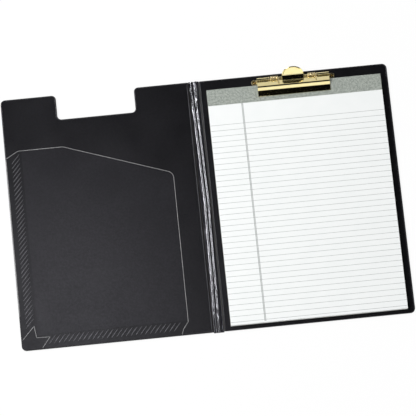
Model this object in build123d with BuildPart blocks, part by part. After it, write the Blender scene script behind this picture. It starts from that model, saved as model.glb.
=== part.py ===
from build123d import *
import os
from math import asin, atan2, ceil, cos, degrees, pi, radians, sin, sqrt

# Padfolio lying open: vinyl front cover, spine and back cover, a brass spring clip and a writing pad.
# Millimetres. X points from the spine to the back cover, Y up the page, Z up.
# The origin is in the middle of the spine, on the surface that the folder lies on.
# Sizes whose names end in DOWN are measured down the page from the covers' top edge.

# Covers
PANEL_HEIGHT = 317.5
PANEL_WIDTH = 233.5
SPINE_WIDTH = 13.0
CORNER_RADIUS = 6.0
CREASE_CORNER = 1.5
SKIN = 0.5
BOARD = 2.2
LINER = 0.4
RIM = 2.0
BOARD_CLEARANCE = 0.1
EDGE_BEVEL = 0.3
WELD_INSET = 2.6
WELD_WIDTH = 0.9
WELD_DEPTH = 0.15

# Creases and spine
PANEL_SETBACK = 0.6
SPINE_SETBACK = 0.15
SPINE_OVERHANG = 0.9
SPINE_INNER = 0.4
RIDGE_RADIUS = 2.2
RIDGE_HEIGHT = 0.7
RIDGE_SPACING = 4.4

# Notch in the front cover, which clears the clip when the folder is shut
NOTCH_WIDTH = 97.0
NOTCH_DEPTH = 31.5
NOTCH_MOUTH_RADIUS = 5.5
NOTCH_FLOOR_RADIUS = 5.0

# Pocket on the front cover, measured in from its left edge, and down or up from its ends
POCKET_EDGE_INSET = 0.8
POCKET_LEFT_DOWN = 75.5
POCKET_SHOULDER_IN = 16.0
POCKET_SHOULDER_DOWN = 66.8
POCKET_PEAK_IN = 71.5
POCKET_NOSE_DOWN = 113.1
POCKET_NOSE_RADIUS = 9.0
POCKET_RIGHT_IN = 204.0
POCKET_HEM_IN = 197.3
POCKET_HEM_UP = 7.2
POCKET_FOOT_IN = 195.2
POCKET_CHAMFER_UP = 16.3
POCKET_SHEET = 0.4
POCKET_GAP = 0.3
POCKET_LEFT_WELD = 18.0
POCKET_BOTTOM_WELD = 16.0

# Writing pad
PAD_WIDTH = 215.9
PAD_LENGTH = 298.45
PAD_LEFT = 14.9
PAD_DOWN = 14.3
BACKING = 0.7
SHEET_STACK = 4.9
TOP_SHEET = 0.1
TAPE = 0.25
TAPE_FRONT = 20.5
TAPE_BACK = 16.0
TAPE_FOLD_RADIUS = 0.2
PAD_CLEARANCE = 0.1

# Jaw of the clip, pressed from sheet brass
BRASS = 0.8
JAW_LENGTH = 89.5
LIP_GAP = 0.3
LIP_END_DOWN = 29.2
LIP_HEEL_DOWN = 22.8
CREST_DOWN = 17.8
CREST_RISE = 3.8
PIN_DOWN = 7.0
PIN_RISE = 5.8
PIN_RADIUS = 1.0
PIN_INSET = 1.0
RUNNING_CLEARANCE = 0.05
SEAT_CLEARANCE = 0.02
KNUCKLE_LENGTH = 14.2
BEND_RADIUS = 1.2
END_GAP = 0.3

# Thumb tab in the middle of the jaw
TAB_WIDTH = 26.6
TAB_ROOT_DOWN = 12.8
STEP_FOOT_DOWN = 11.4
NECK_FRONT_DOWN = 9.6
NECK_BACK_DOWN = 5.4
NECK_RISE = 3.1
TAB_ANGLE = 52.0
TAB_SHANK = 1.6
TAB_BEND_RADIUS = 0.6
TAB_RIM = 1.0
TAB_DISH = 0.25

# Clip base, rivets and washers
BASE_BACK_DOWN = 4.2
BASE_LENGTH = 103.4
BASE_WIDE_LENGTH = 88.0
BASE_PAD_GAP = 0.3
BASE_CORNER_RADIUS = 1.5
END_TAB_WIDTH = 6.4
EAR_RADIUS = 2.2
EAR_THICKNESS = 0.8
RIVET_INSET = 3.3
RIVET_HEAD_RADIUS = 2.7
RIVET_HEAD = 0.7
RIVET_HEAD_BEVEL = 0.35
RIVET_SHANK_RADIUS = 1.7
RIVET_BORE_RADIUS = 1.1
RIVET_FLARE = 0.3
RIVET_CLEARANCE = 0.1
WASHER_RADIUS = 4.0
WASHER = 0.4

# Torsion springs, whose wire has few sides so that the coils stay light
WIRE = 1.1
WIRE_SIDES = 8
COIL_RADIUS = 2.2
COIL_PITCH = 1.65
COIL_FULL_TURNS = 5
COIL_STEP = 180.0
SPRING_SEAT_GAP = 0.3
BASE_FOOT_DOWN = 12.4
JAW_FOOT_DOWN = 14.6

# Levels and places that follow from the sizes above
PANEL_TOP = SKIN + BOARD + LINER
TOP_EDGE = PANEL_HEIGHT / 2
BOTTOM_EDGE = -TOP_EDGE
CREASE = SPINE_WIDTH / 2
PANEL_INNER = CREASE + PANEL_SETBACK
PANEL_OUTER = CREASE + PANEL_WIDTH
FRONT_LEFT = -PANEL_OUTER
SPINE_HALF = CREASE - SPINE_SETBACK
SPINE_LENGTH = PANEL_HEIGHT + 2 * SPINE_OVERHANG
PAD_MIDDLE = PAD_LEFT + PAD_WIDTH / 2
PAD_TOP_EDGE = TOP_EDGE - PAD_DOWN
PAD_CENTRE = PAD_TOP_EDGE - PAD_LENGTH / 2
TAPE_LEVEL = PANEL_TOP + PAD_CLEARANCE
BACKING_LEVEL = TAPE_LEVEL + TAPE
STACK_LEVEL = BACKING_LEVEL + BACKING
SHEET_LEVEL = STACK_LEVEL + SHEET_STACK
SHEET_TOP = SHEET_LEVEL + TOP_SHEET
PAD_TOP = SHEET_TOP + TAPE
CLIP_MIDDLE = PAD_MIDDLE
NOTCH_MIDDLE = -CLIP_MIDDLE
PIN_LEVEL = PANEL_TOP + PIN_RISE
PIN_Y = TOP_EDGE - PIN_DOWN
PIN_LENGTH = JAW_LENGTH - 2 * PIN_INSET
LIP_LEVEL = PAD_TOP + LIP_GAP + BRASS
CREST_LEVEL = LIP_LEVEL + CREST_RISE
NECK_LEVEL = PIN_LEVEL + NECK_RISE
KNUCKLE_BORE = PIN_RADIUS + RUNNING_CLEARANCE
KNUCKLE_RADIUS = KNUCKLE_BORE + BRASS
JAW_LEFT = CLIP_MIDDLE - JAW_LENGTH / 2
JAW_RIGHT = CLIP_MIDDLE + JAW_LENGTH / 2
TAB_RADIUS = TAB_WIDTH / 2
TAB_LEFT = CLIP_MIDDLE - TAB_RADIUS
BASE_TOP = PANEL_TOP + BRASS
BASE_FRONT_DOWN = PAD_DOWN - TAPE - BASE_PAD_GAP
BASE_DEPTH = BASE_FRONT_DOWN - BASE_BACK_DOWN
BASE_Y = TOP_EDGE - (BASE_BACK_DOWN + BASE_FRONT_DOWN) / 2
RIVET_SPACING = BASE_LENGTH - 2 * RIVET_INSET
SPRING_REACH = COIL_RADIUS + WIRE / 2
EAR_LEFT = JAW_LEFT + KNUCKLE_LENGTH + END_GAP
EAR_RIGHT = JAW_RIGHT - KNUCKLE_LENGTH - END_GAP - EAR_THICKNESS

# The jaw's plate falls from the crest to the knuckle, where its top touches the knuckle's bore
PLATE_REACH = sqrt((CREST_DOWN - PIN_DOWN) ** 2 + (CREST_LEVEL - PIN_LEVEL) ** 2)
PLATE_SLOPE = atan2(CREST_LEVEL - PIN_LEVEL, CREST_DOWN - PIN_DOWN) + asin(KNUCKLE_BORE / PLATE_REACH)
PLATE_END_DOWN = PIN_DOWN + KNUCKLE_BORE * sin(PLATE_SLOPE)
PLATE_END_LEVEL = PIN_LEVEL - KNUCKLE_BORE * cos(PLATE_SLOPE)


def plate_point(down):
    """Point on top of the jaw's plate, in the clip's side view."""
    rise = (down - PLATE_END_DOWN) * sin(PLATE_SLOPE) / cos(PLATE_SLOPE)
    return (TOP_EDGE - down, PLATE_END_LEVEL + rise)


def back_outline(inset=0.0):
    """Outline of the back cover, moved inwards by inset."""
    with BuildSketch() as outline:
        with BuildLine():
            FilletPolyline(
                (PANEL_INNER, BOTTOM_EDGE),
                (PANEL_OUTER, BOTTOM_EDGE),
                (PANEL_OUTER, TOP_EDGE),
                (PANEL_INNER, TOP_EDGE),
                radius=[CREASE_CORNER, CORNER_RADIUS, CORNER_RADIUS, CREASE_CORNER],
                close=True,
            )
        make_face()
        if inset > 0:
            offset(amount=-inset)
    return outline.sketch


def front_outline(inset=0.0):
    """Outline of the front cover with its notch, moved inwards by inset."""
    notch_left = NOTCH_MIDDLE - NOTCH_WIDTH / 2
    notch_right = NOTCH_MIDDLE + NOTCH_WIDTH / 2
    notch_floor = TOP_EDGE - NOTCH_DEPTH
    with BuildSketch() as outline:
        with BuildLine():
            FilletPolyline(
                (FRONT_LEFT, BOTTOM_EDGE),
                (-PANEL_INNER, BOTTOM_EDGE),
                (-PANEL_INNER, TOP_EDGE),
                (notch_right, TOP_EDGE),
                (notch_right, notch_floor),
                (notch_left, notch_floor),
                (notch_left, TOP_EDGE),
                (FRONT_LEFT, TOP_EDGE),
                radius=[
                    CORNER_RADIUS,
                    CREASE_CORNER,
                    CREASE_CORNER,
                    NOTCH_MOUTH_RADIUS,
                    NOTCH_FLOOR_RADIUS,
                    NOTCH_FLOOR_RADIUS,
                    NOTCH_MOUTH_RADIUS,
                    CORNER_RADIUS,
                ],
                close=True,
            )
        make_face()
        if inset > 0:
            offset(amount=-inset)
    return outline.sketch


def rivet_circles(radius):
    """Two circles on the rivets' centres."""
    with BuildSketch() as circles:
        with Locations((CLIP_MIDDLE, BASE_Y)):
            with GridLocations(RIVET_SPACING, 0, 2, 1):
                Circle(radius)
    return circles.sketch


# Front cover: outer vinyl, stiffener, inner vinyl and pocket
with BuildPart() as front_skin:
    with BuildSketch():
        add(front_outline())
    extrude(amount=SKIN + BOARD)
    outer_face = front_skin.faces().sort_by(Axis.Z)[0]
    chamfer(outer_face.outer_wire().edges(), EDGE_BEVEL)
    with BuildSketch(Plane.XY.offset(SKIN)):
        add(front_outline(RIM))
    extrude(amount=BOARD, mode=Mode.SUBTRACT)

with BuildPart() as front_board:
    with BuildSketch(Plane.XY.offset(SKIN)):
        add(front_outline(RIM + BOARD_CLEARANCE))
    extrude(amount=BOARD)

with BuildPart() as front_liner:
    with BuildSketch(Plane.XY.offset(SKIN + BOARD)):
        add(front_outline())
    extrude(amount=LINER)
    inner_face = front_liner.faces().sort_by(Axis.Z)[-1]
    chamfer(inner_face.outer_wire().edges(), EDGE_BEVEL)
    with BuildSketch(Plane.XY.offset(PANEL_TOP)):
        add(front_outline(WELD_INSET))
        add(front_outline(WELD_INSET + WELD_WIDTH), mode=Mode.SUBTRACT)
    extrude(amount=-WELD_DEPTH, mode=Mode.SUBTRACT)

# The pocket is welded along its left side and foot, and open along its slanted top and right side
with BuildPart() as pocket_sheet:
    pocket_foot = BOTTOM_EDGE + POCKET_EDGE_INSET
    with BuildSketch(Plane.XY.offset(PANEL_TOP)):
        with BuildLine():
            FilletPolyline(
                (FRONT_LEFT + POCKET_EDGE_INSET, pocket_foot),
                (FRONT_LEFT + POCKET_FOOT_IN, pocket_foot),
                (FRONT_LEFT + POCKET_HEM_IN, BOTTOM_EDGE + POCKET_HEM_UP),
                (FRONT_LEFT + POCKET_RIGHT_IN, BOTTOM_EDGE + POCKET_CHAMFER_UP),
                (FRONT_LEFT + POCKET_RIGHT_IN, TOP_EDGE - POCKET_NOSE_DOWN),
                (FRONT_LEFT + POCKET_PEAK_IN, TOP_EDGE - POCKET_SHOULDER_DOWN),
                (FRONT_LEFT + POCKET_SHOULDER_IN, TOP_EDGE - POCKET_SHOULDER_DOWN),
                (FRONT_LEFT + POCKET_EDGE_INSET, TOP_EDGE - POCKET_LEFT_DOWN),
                radius=[
                    CORNER_RADIUS - POCKET_EDGE_INSET,
                    0,
                    CREASE_CORNER,
                    CREASE_CORNER,
                    POCKET_NOSE_RADIUS,
                    POCKET_NOSE_RADIUS,
                    POCKET_NOSE_RADIUS,
                    0,
                ],
                close=True,
            )
        make_face()
    extrude(amount=POCKET_GAP + POCKET_SHEET)
    with Locations((FRONT_LEFT + POCKET_LEFT_WELD, BOTTOM_EDGE + POCKET_BOTTOM_WELD, PANEL_TOP)):
        Box(
            PANEL_WIDTH,
            PANEL_HEIGHT,
            POCKET_GAP,
            align=(Align.MIN, Align.MIN, Align.MIN),
            mode=Mode.SUBTRACT,
        )

# Spine: two strips of vinyl between the creases, the inner one gathered into two ridges
with BuildPart() as spine_skin:
    with BuildSketch():
        Rectangle(2 * SPINE_HALF, SPINE_LENGTH)
    extrude(amount=SKIN)

with BuildPart() as spine_liner:
    strip_level = SKIN
    strip_top = strip_level + SPINE_INNER
    with BuildSketch(Plane.XZ.offset(-SPINE_LENGTH / 2)):
        with Locations((0, (strip_level + strip_top) / 2)):
            Rectangle(2 * SPINE_HALF, SPINE_INNER)
        with Locations((0, strip_top + RIDGE_HEIGHT - RIDGE_RADIUS)):
            with GridLocations(RIDGE_SPACING, 0, 2, 1):
                Circle(RIDGE_RADIUS)
        with Locations((0, strip_level)):
            Rectangle(
                SPINE_WIDTH,
                2 * RIDGE_RADIUS,
                align=(Align.CENTER, Align.MAX),
                mode=Mode.SUBTRACT,
            )
    extrude(amount=SPINE_LENGTH)

# Back cover: outer vinyl, stiffener and inner vinyl, with holes for the clip's rivets
with BuildPart() as back_skin:
    with BuildSketch():
        add(back_outline())
    extrude(amount=SKIN + BOARD)
    outer_face = back_skin.faces().sort_by(Axis.Z)[0]
    chamfer(outer_face.outer_wire().edges(), EDGE_BEVEL)
    with BuildSketch(Plane.XY.offset(SKIN)):
        add(back_outline(RIM))
    extrude(amount=BOARD, mode=Mode.SUBTRACT)
    with BuildSketch():
        add(rivet_circles(WASHER_RADIUS + RIVET_CLEARANCE))
    extrude(amount=SKIN, mode=Mode.SUBTRACT)

with BuildPart() as back_board:
    with BuildSketch(Plane.XY.offset(SKIN)):
        add(back_outline(RIM + BOARD_CLEARANCE))
        add(rivet_circles(RIVET_SHANK_RADIUS + RIVET_CLEARANCE), mode=Mode.SUBTRACT)
    extrude(amount=BOARD)

with BuildPart() as back_liner:
    with BuildSketch(Plane.XY.offset(SKIN + BOARD)):
        add(back_outline())
    extrude(amount=LINER)
    inner_face = back_liner.faces().sort_by(Axis.Z)[-1]
    chamfer(inner_face.outer_wire().edges(), EDGE_BEVEL)
    with BuildSketch(Plane.XY.offset(PANEL_TOP)):
        add(back_outline(WELD_INSET))
        add(back_outline(WELD_INSET + WELD_WIDTH), mode=Mode.SUBTRACT)
    extrude(amount=-WELD_DEPTH, mode=Mode.SUBTRACT)
    with BuildSketch(Plane.XY.offset(PANEL_TOP)):
        add(rivet_circles(RIVET_SHANK_RADIUS + RIVET_CLEARANCE))
    extrude(amount=-LINER, mode=Mode.SUBTRACT)

# Clip base: a plate with rounded ends, and two ears folded up to hold the pin
with BuildPart() as clip_base:
    with BuildSketch(Plane.XY.offset(PANEL_TOP)):
        with Locations((CLIP_MIDDLE, BASE_Y)):
            RectangleRounded(BASE_WIDE_LENGTH, BASE_DEPTH, BASE_CORNER_RADIUS)
            SlotOverall(BASE_LENGTH, END_TAB_WIDTH)
        add(rivet_circles(RIVET_SHANK_RADIUS + SEAT_CLEARANCE), mode=Mode.SUBTRACT)
    extrude(amount=BRASS)
    for ear_start in (EAR_LEFT, EAR_RIGHT):
        with BuildSketch(Plane.YZ.offset(ear_start)):
            with Locations((PIN_Y, PANEL_TOP)):
                Rectangle(2 * EAR_RADIUS, PIN_RISE, align=(Align.CENTER, Align.MIN))
            with Locations((PIN_Y, PIN_LEVEL)):
                Circle(EAR_RADIUS)
                Circle(PIN_RADIUS + SEAT_CLEARANCE, mode=Mode.SUBTRACT)
        extrude(amount=EAR_THICKNESS)

# Tubular rivets: bevelled heads on the base, ends flared into the washers
with BuildPart() as clip_rivets:
    flare_level = SKIN - WASHER
    with BuildSketch(Plane.XZ):
        with BuildLine():
            Polyline(
                (RIVET_BORE_RADIUS, flare_level),
                (RIVET_SHANK_RADIUS + RIVET_FLARE, flare_level),
                (RIVET_SHANK_RADIUS, flare_level + RIVET_FLARE),
                (RIVET_SHANK_RADIUS, BASE_TOP),
                (RIVET_HEAD_RADIUS, BASE_TOP),
                (RIVET_HEAD_RADIUS, BASE_TOP + RIVET_HEAD),
                (RIVET_BORE_RADIUS, BASE_TOP + RIVET_HEAD),
                close=True,
            )
        make_face()
        head_corners = vertices().group_by(Axis.Y)[-1]
        chamfer(head_corners, RIVET_HEAD_BEVEL)
    rivet = revolve(axis=Axis.Z, mode=Mode.PRIVATE)
    with Locations((CLIP_MIDDLE, BASE_Y)):
        with GridLocations(RIVET_SPACING, 0, 2, 1):
            add(rivet)

with BuildPart() as rivet_washers:
    washer_bore = RIVET_SHANK_RADIUS + SEAT_CLEARANCE
    washer_level = SKIN - WASHER
    with BuildSketch(Plane.XZ):
        with BuildLine():
            Polyline(
                (washer_bore + RIVET_FLARE, washer_level),
                (WASHER_RADIUS, washer_level),
                (WASHER_RADIUS, SKIN),
                (washer_bore, SKIN),
                (washer_bore, washer_level + RIVET_FLARE),
                close=True,
            )
        make_face()
    washer = revolve(axis=Axis.Z, mode=Mode.PRIVATE)
    with Locations((CLIP_MIDDLE, BASE_Y)):
        with GridLocations(RIVET_SPACING, 0, 2, 1):
            add(washer)

with BuildPart() as clip_pin:
    with BuildSketch(Plane.YZ.offset(CLIP_MIDDLE - PIN_LENGTH / 2)):
        with Locations((PIN_Y, PIN_LEVEL)):
            Circle(PIN_RADIUS)
    extrude(amount=PIN_LENGTH)

# Jaw: knuckles rolled round the pin at both ends, an arched plate, a flat lip and a thumb tab
with BuildPart() as clip_jaw:
    lip_end = (TOP_EDGE - LIP_END_DOWN, LIP_LEVEL)
    lip_heel = (TOP_EDGE - LIP_HEEL_DOWN, LIP_LEVEL)
    crest = (TOP_EDGE - CREST_DOWN, CREST_LEVEL)
    trim_reach = sqrt((SPRING_REACH + END_GAP) ** 2 - KNUCKLE_BORE**2)
    trim_down = PLATE_END_DOWN + trim_reach * cos(PLATE_SLOPE)
    with BuildSketch(Plane.YZ.offset(JAW_LEFT)) as knuckle_profile:
        with BuildLine():
            FilletPolyline(lip_end, lip_heel, crest, plate_point(PLATE_END_DOWN), radius=BEND_RADIUS)
            offset(amount=BRASS, side=Side.RIGHT)
        make_face()
        with Locations((PIN_Y, PIN_LEVEL)):
            Circle(KNUCKLE_RADIUS)
            Circle(KNUCKLE_BORE, mode=Mode.SUBTRACT)
    extrude(amount=KNUCKLE_LENGTH)
    with BuildSketch(Plane.YZ.offset(JAW_RIGHT - KNUCKLE_LENGTH)):
        add(knuckle_profile.sketch_local)
    extrude(amount=KNUCKLE_LENGTH)
    with BuildSketch(Plane.YZ.offset(JAW_LEFT + KNUCKLE_LENGTH)):
        with BuildLine():
            FilletPolyline(lip_end, lip_heel, crest, plate_point(trim_down), radius=BEND_RADIUS)
            offset(amount=BRASS, side=Side.RIGHT)
        make_face()
    extrude(amount=JAW_LENGTH - 2 * KNUCKLE_LENGTH)

    # The tab steps up from the plate, passes over the pin and turns up to a round dished end
    neck_back = (TOP_EDGE - NECK_BACK_DOWN, NECK_LEVEL)
    tab_rise = (cos(radians(TAB_ANGLE)), sin(radians(TAB_ANGLE)))
    shank_end = (neck_back[0] + TAB_SHANK * tab_rise[0], neck_back[1] + TAB_SHANK * tab_rise[1])
    with BuildSketch(Plane.YZ.offset(TAB_LEFT)):
        with BuildLine():
            FilletPolyline(
                plate_point(TAB_ROOT_DOWN),
                plate_point(STEP_FOOT_DOWN),
                (TOP_EDGE - NECK_FRONT_DOWN, NECK_LEVEL),
                neck_back,
                shank_end,
                radius=TAB_BEND_RADIUS,
            )
            offset(amount=BRASS, side=Side.RIGHT)
        make_face()
    extrude(amount=TAB_WIDTH)
    tab_plane = Plane(
        origin=(CLIP_MIDDLE, shank_end[0], shank_end[1]),
        x_dir=(1, 0, 0),
        z_dir=(0, -tab_rise[1], tab_rise[0]),
    )
    with BuildSketch(tab_plane):
        Circle(TAB_RADIUS)
        Rectangle(2 * TAB_WIDTH, TAB_WIDTH, align=(Align.CENTER, Align.MAX), mode=Mode.SUBTRACT)
    extrude(amount=-BRASS)
    with BuildSketch(tab_plane):
        Circle(TAB_RADIUS - TAB_RIM)
        Rectangle(2 * TAB_WIDTH, TAB_WIDTH, align=(Align.CENTER, Align.MAX), mode=Mode.SUBTRACT)
    extrude(amount=-TAB_DISH, mode=Mode.SUBTRACT)


def leg_length(down, level):
    """Length, in side view, of a straight leg from the coil's rim to a foot."""
    return sqrt((TOP_EDGE - down - PIN_Y) ** 2 + (level - PIN_LEVEL) ** 2 - COIL_RADIUS**2)


def foot_angle(down, level):
    """Direction of a foot from the pin, in side view, in radians."""
    return atan2(level - PIN_LEVEL, TOP_EDGE - down - PIN_Y)


BASE_FOOT_LEVEL = BASE_TOP + WIRE / 2 + SPRING_SEAT_GAP
JAW_FOOT_LEVEL = plate_point(JAW_FOOT_DOWN)[1] + (WIRE / 2 + SPRING_SEAT_GAP) / cos(PLATE_SLOPE)
BASE_LEG = leg_length(BASE_FOOT_DOWN, BASE_FOOT_LEVEL)
JAW_LEG = leg_length(JAW_FOOT_DOWN, JAW_FOOT_LEVEL)
COIL_START = foot_angle(BASE_FOOT_DOWN, BASE_FOOT_LEVEL) + atan2(BASE_LEG, COIL_RADIUS)
COIL_END = foot_angle(JAW_FOOT_DOWN, JAW_FOOT_LEVEL) - atan2(JAW_LEG, COIL_RADIUS)
COIL_SWEEP = COIL_END - COIL_START + 2 * pi * COIL_FULL_TURNS
COIL_RATE = COIL_PITCH / (2 * pi)
COIL_LENGTH = COIL_RATE * COIL_SWEEP


def coil_point(start_x, turned):
    """Point on the coil's centre line after it has turned by an angle in radians."""
    angle = COIL_START + turned
    return Vector(
        start_x + COIL_RATE * turned,
        PIN_Y + COIL_RADIUS * cos(angle),
        PIN_LEVEL + COIL_RADIUS * sin(angle),
    )


def coil_direction(turned):
    """Direction of the coil's centre line after it has turned by an angle in radians."""
    angle = COIL_START + turned
    return Vector(COIL_RATE, -COIL_RADIUS * sin(angle), COIL_RADIUS * cos(angle)).normalized()


def biarc_joint(start, start_direction, end, end_direction):
    """Point where two tangent arcs from start to end meet, and their direction there."""
    chord = end - start
    both = start_direction + end_direction
    square = both.dot(both) - 4
    cross = chord.dot(both)
    reach = (cross - sqrt(cross**2 - square * chord.dot(chord))) / square
    leaving = start + start_direction * reach
    arriving = end - end_direction * reach
    return (leaving + arriving) * 0.5, arriving - leaving


def spring_route(start_x):
    """Centre line of a torsion spring: a foot on the base, the coil, and a foot on the jaw."""
    lead = sqrt(COIL_RADIUS**2 + COIL_RATE**2) / COIL_RADIUS
    steps = ceil(degrees(COIL_SWEEP) / COIL_STEP)
    first = coil_point(start_x, 0)
    last = coil_point(start_x, COIL_SWEEP)
    with BuildLine() as route:
        Line(first - coil_direction(0) * (BASE_LEG * lead), first)
        for step in range(steps):
            turned = COIL_SWEEP * step / steps
            turned_next = COIL_SWEEP * (step + 1) / steps
            start = coil_point(start_x, turned)
            end = coil_point(start_x, turned_next)
            leaving = coil_direction(turned)
            joint, along = biarc_joint(start, leaving, end, coil_direction(turned_next))
            TangentArc(start, joint, tangent=leaving)
            TangentArc(joint, end, tangent=along)
        Line(last, last + coil_direction(COIL_SWEEP) * (JAW_LEG * lead))
    return route.wires()[0]


SPRING_DRIFT = COIL_RATE / COIL_RADIUS
LEFT_COIL_X = EAR_LEFT + EAR_THICKNESS + END_GAP + WIRE / 2 + SPRING_DRIFT * BASE_LEG
RIGHT_COIL_X = EAR_RIGHT - END_GAP - WIRE / 2 - SPRING_DRIFT * JAW_LEG - COIL_LENGTH

with BuildPart() as spring_left:
    left_route = spring_route(LEFT_COIL_X)
    with BuildSketch(Plane(origin=left_route @ 0, z_dir=left_route % 0)):
        RegularPolygon(WIRE / 2, WIRE_SIDES)
    sweep(path=left_route)

with BuildPart() as spring_right:
    right_route = spring_route(RIGHT_COIL_X)
    with BuildSketch(Plane(origin=right_route @ 0, z_dir=right_route % 0)):
        RegularPolygon(WIRE / 2, WIRE_SIDES)
    sweep(path=right_route)

# Writing pad: chipboard, a block of sheets, the uppermost sheet and a cloth tape over the top edge
with BuildPart() as pad_backing:
    with BuildSketch(Plane.XY.offset(BACKING_LEVEL)):
        with Locations((PAD_MIDDLE, PAD_CENTRE)):
            Rectangle(PAD_WIDTH, PAD_LENGTH)
    extrude(amount=BACKING)

with BuildPart() as pad_sheets:
    with BuildSketch(Plane.XY.offset(STACK_LEVEL)):
        with Locations((PAD_MIDDLE, PAD_CENTRE)):
            Rectangle(PAD_WIDTH, PAD_LENGTH)
    extrude(amount=SHEET_STACK)

with BuildPart() as pad_top_sheet:
    with BuildSketch(Plane.XY.offset(SHEET_LEVEL)):
        with Locations((PAD_MIDDLE, PAD_CENTRE)):
            Rectangle(PAD_WIDTH, PAD_LENGTH)
    extrude(amount=TOP_SHEET)

with BuildPart() as pad_tape:
    with BuildSketch(Plane.YZ.offset(PAD_LEFT)):
        with BuildLine():
            Polyline(
                (PAD_TOP_EDGE - TAPE_FRONT, SHEET_TOP),
                (PAD_TOP_EDGE, SHEET_TOP),
                (PAD_TOP_EDGE, BACKING_LEVEL),
                (PAD_TOP_EDGE - TAPE_BACK, BACKING_LEVEL),
                (PAD_TOP_EDGE - TAPE_BACK, TAPE_LEVEL),
                (PAD_TOP_EDGE + TAPE, TAPE_LEVEL),
                (PAD_TOP_EDGE + TAPE, PAD_TOP),
                (PAD_TOP_EDGE - TAPE_FRONT, PAD_TOP),
                close=True,
            )
        make_face()
        fold = vertices().group_by(Axis.X)[-1]
        fillet(fold, TAPE_FOLD_RADIUS)
    extrude(amount=PAD_WIDTH)

# Least gap of a spring to itself, measured on points along its centre line
GAP_POINTS = 600
GAP_SKIP = 2 * pi * COIL_RADIUS / 2
route_points = [left_route @ (index / GAP_POINTS) for index in range(GAP_POINTS + 1)]
point_spacing = left_route.length / GAP_POINTS
least_gap = min(
    (route_points[first] - route_points[second]).length - WIRE
    for first in range(GAP_POINTS + 1)
    for second in range(first + ceil(GAP_SKIP / point_spacing), GAP_POINTS + 1)
)
print("least gap of a spring to itself:", round(least_gap, 3), "mm")

pieces = {
    "front_skin": front_skin,
    "front_board": front_board,
    "front_liner": front_liner,
    "pocket_sheet": pocket_sheet,
    "spine_skin": spine_skin,
    "spine_liner": spine_liner,
    "back_skin": back_skin,
    "back_board": back_board,
    "back_liner": back_liner,
    "clip_base": clip_base,
    "clip_rivets": clip_rivets,
    "rivet_washers": rivet_washers,
    "clip_pin": clip_pin,
    "clip_jaw": clip_jaw,
    "spring_left": spring_left,
    "spring_right": spring_right,
    "pad_backing": pad_backing,
    "pad_sheets": pad_sheets,
    "pad_top_sheet": pad_top_sheet,
    "pad_tape": pad_tape,
}
os.makedirs("parts", exist_ok=True)
for name, piece in pieces.items():
    piece.part.label = name
    export_step(piece.part, f"parts/{name}.step")
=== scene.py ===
from math import atan2, ceil, cos, exp, pi, radians, sin, sqrt, tan

import bmesh
import bpy
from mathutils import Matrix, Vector, noise


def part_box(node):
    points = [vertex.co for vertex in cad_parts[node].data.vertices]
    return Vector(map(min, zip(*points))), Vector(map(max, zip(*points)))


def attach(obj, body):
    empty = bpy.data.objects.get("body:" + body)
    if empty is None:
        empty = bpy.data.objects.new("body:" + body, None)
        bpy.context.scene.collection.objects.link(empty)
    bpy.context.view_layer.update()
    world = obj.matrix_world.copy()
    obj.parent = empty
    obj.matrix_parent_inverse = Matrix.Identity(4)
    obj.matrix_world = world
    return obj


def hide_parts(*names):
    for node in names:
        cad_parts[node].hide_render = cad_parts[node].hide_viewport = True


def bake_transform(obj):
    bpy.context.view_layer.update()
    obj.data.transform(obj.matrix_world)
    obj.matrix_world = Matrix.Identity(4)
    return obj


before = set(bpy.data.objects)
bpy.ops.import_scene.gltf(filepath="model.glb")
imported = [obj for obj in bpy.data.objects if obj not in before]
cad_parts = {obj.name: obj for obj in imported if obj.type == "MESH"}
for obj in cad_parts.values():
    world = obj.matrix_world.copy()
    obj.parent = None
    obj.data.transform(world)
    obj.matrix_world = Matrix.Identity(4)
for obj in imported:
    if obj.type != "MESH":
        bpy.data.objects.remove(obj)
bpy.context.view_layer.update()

# A padfolio lying open. Lengths in the code are millimetres unless a name ends in _m; the scene is in metres.
MM = 0.001

# Sizes shared with the solids
TOP_EDGE = 158.75
BOTTOM_EDGE = -158.75
PANEL_OUTER = 240.0
PANEL_INNER = 7.1
PANEL_TOP = 3.1
CORNER_RADIUS = 6.0
CREASE = 6.5
NOTCH_LEFT = -171.35
NOTCH_RIGHT = -74.35
NOTCH_FLOOR = 127.25
NOTCH_MOUTH_RADIUS = 5.5
NOTCH_FLOOR_RADIUS = 5.0
PAD_LEFT = 14.9
PAD_RIGHT = 230.8
PAD_TOP_EDGE = 144.45
PAD_BOTTOM = -154.0
TAPE_LEVEL = 3.2
TAPE = 0.25
TAPE_FRONT = 20.5
TAPE_BACK = 16.0
STACK_LEVEL = 4.15
SHEET_LEVEL = 9.05
SHEET_TOP = 9.15
PIN_Y = 151.75
PIN_LEVEL = 8.9


def feed(target, value):
    """Links a socket to an input, or sets the input's own value."""
    if isinstance(value, bpy.types.NodeSocket):
        target.id_data.links.new(value, target)
    else:
        target.default_value = value


def node(tree, kind, values=None, **settings):
    """Adds a node, sets its properties and feeds its inputs, by name or by number."""
    made = tree.nodes.new(kind)
    for name, value in settings.items():
        setattr(made, name, value)
    for name, value in (values or {}).items():
        feed(made.inputs[name], value)
    return made


def fed(kind, values, **settings):
    """Adds a node to the tree of the sockets that feed it."""
    sockets = [value for value in values.values() if isinstance(value, bpy.types.NodeSocket)]
    return node(sockets[0].id_data, kind, values, **settings)


def calculate(operation, *terms, clamp=False):
    """A Math node on sockets and plain numbers."""
    return fed("ShaderNodeMath", dict(enumerate(terms)), operation=operation, use_clamp=clamp).outputs[0]


def times(first, second, clamp=False):
    return calculate("MULTIPLY", first, second, clamp=clamp)


def scaled(value, factor, added, clamp=False):
    """A value times a factor, plus another value."""
    return calculate("MULTIPLY_ADD", value, factor, added, clamp=clamp)


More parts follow.
